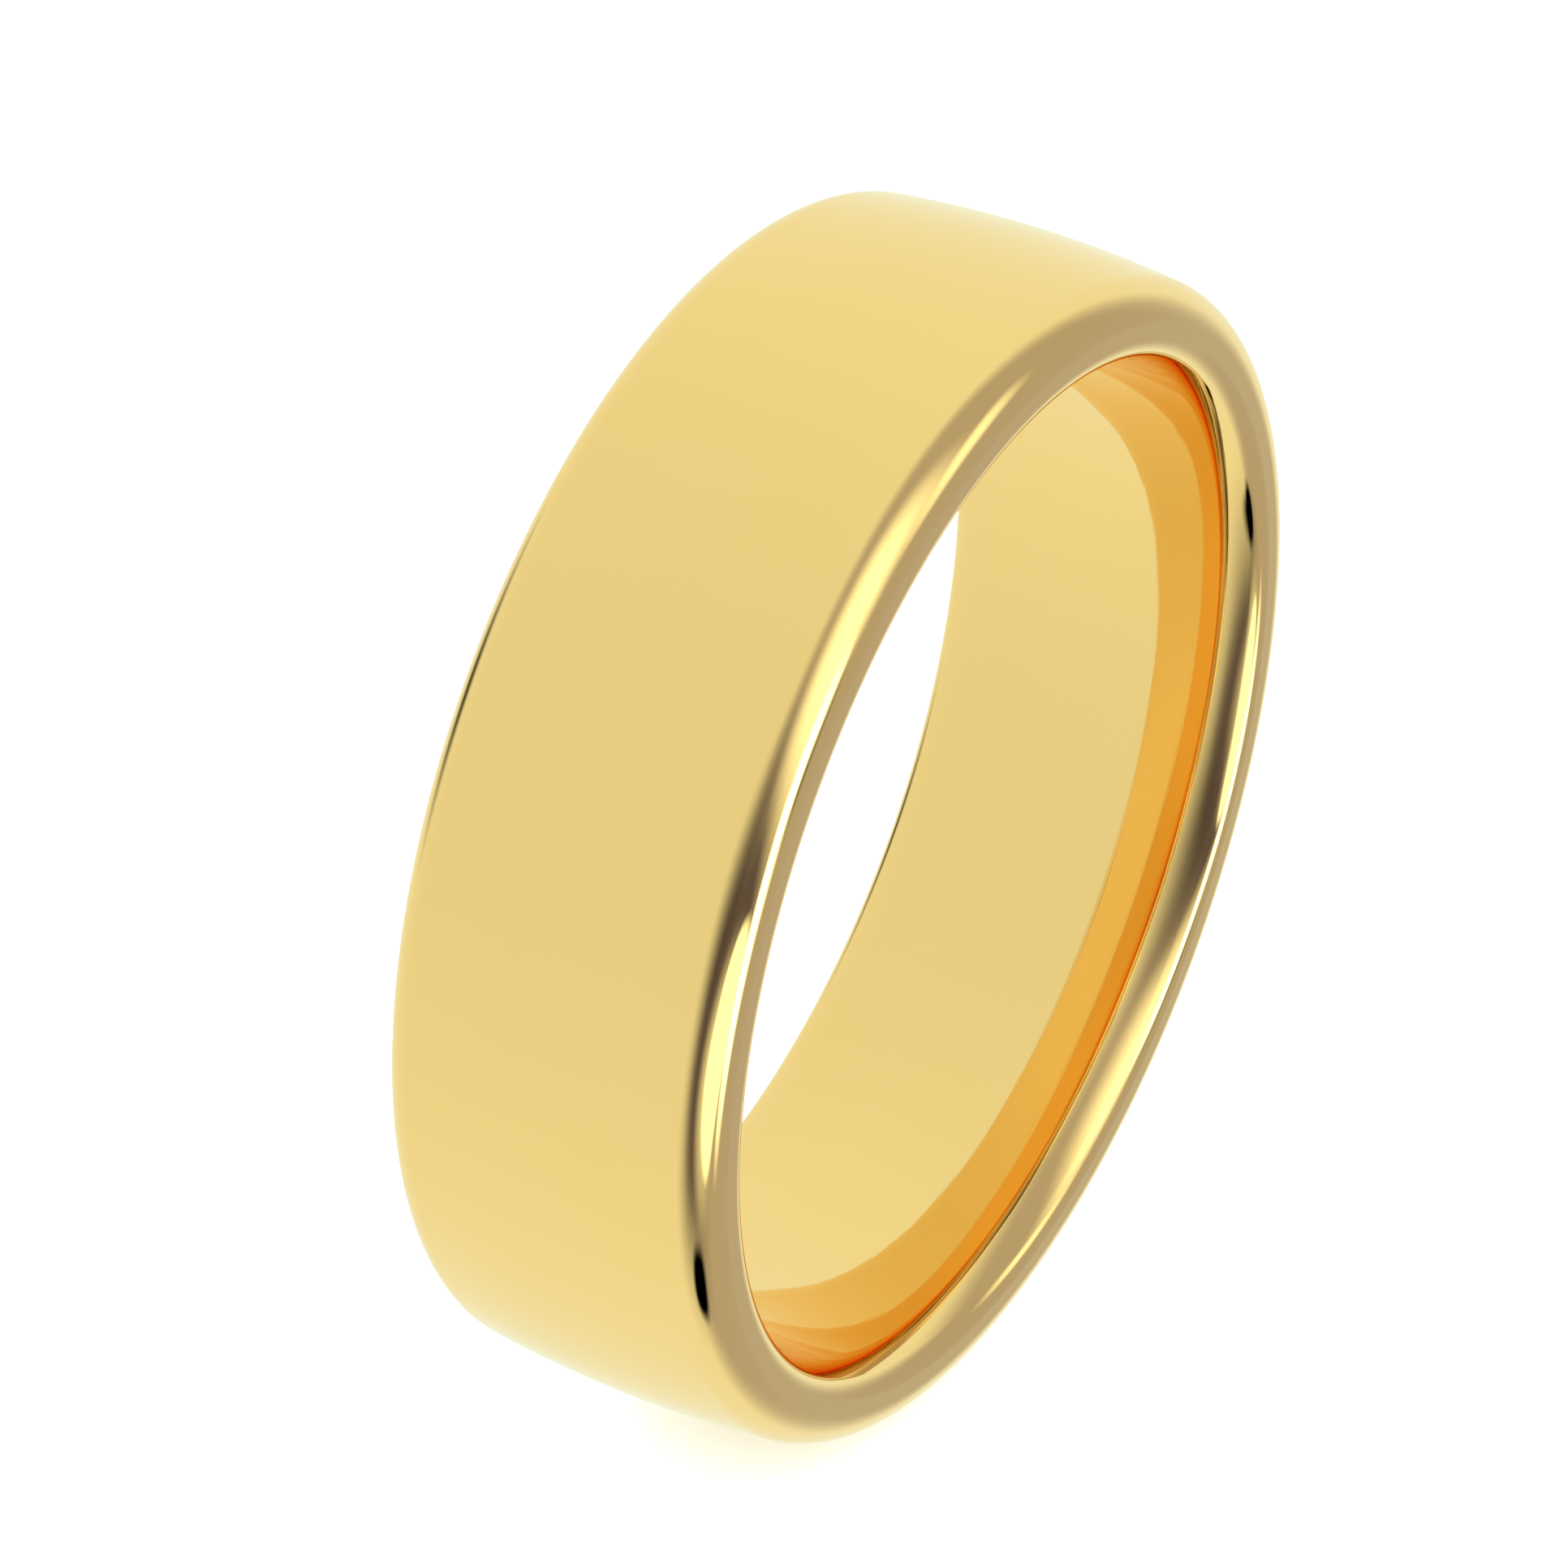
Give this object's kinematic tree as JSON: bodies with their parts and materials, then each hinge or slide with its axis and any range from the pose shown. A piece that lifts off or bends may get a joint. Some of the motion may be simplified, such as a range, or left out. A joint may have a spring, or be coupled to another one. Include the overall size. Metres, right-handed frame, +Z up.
{
  "type": "wedding band",
  "caption": "Plain polished yellow gold wedding band with a low domed outer face, rounded edges and a comfort-fit bore.",
  "frame": {"origin": "centre of the bore, on the finger axis at mid width", "axes": "+Y along the finger, +Z up, as the ring stands on its outer face"},
  "size_m": [0.0204, 0.006, 0.0204],
  "materials": {
    "polished_gold": "mirror polished yellow gold"
  },
  "bodies": {
    "root": {"band": "polished_gold"}
  },
  "joints": []
}
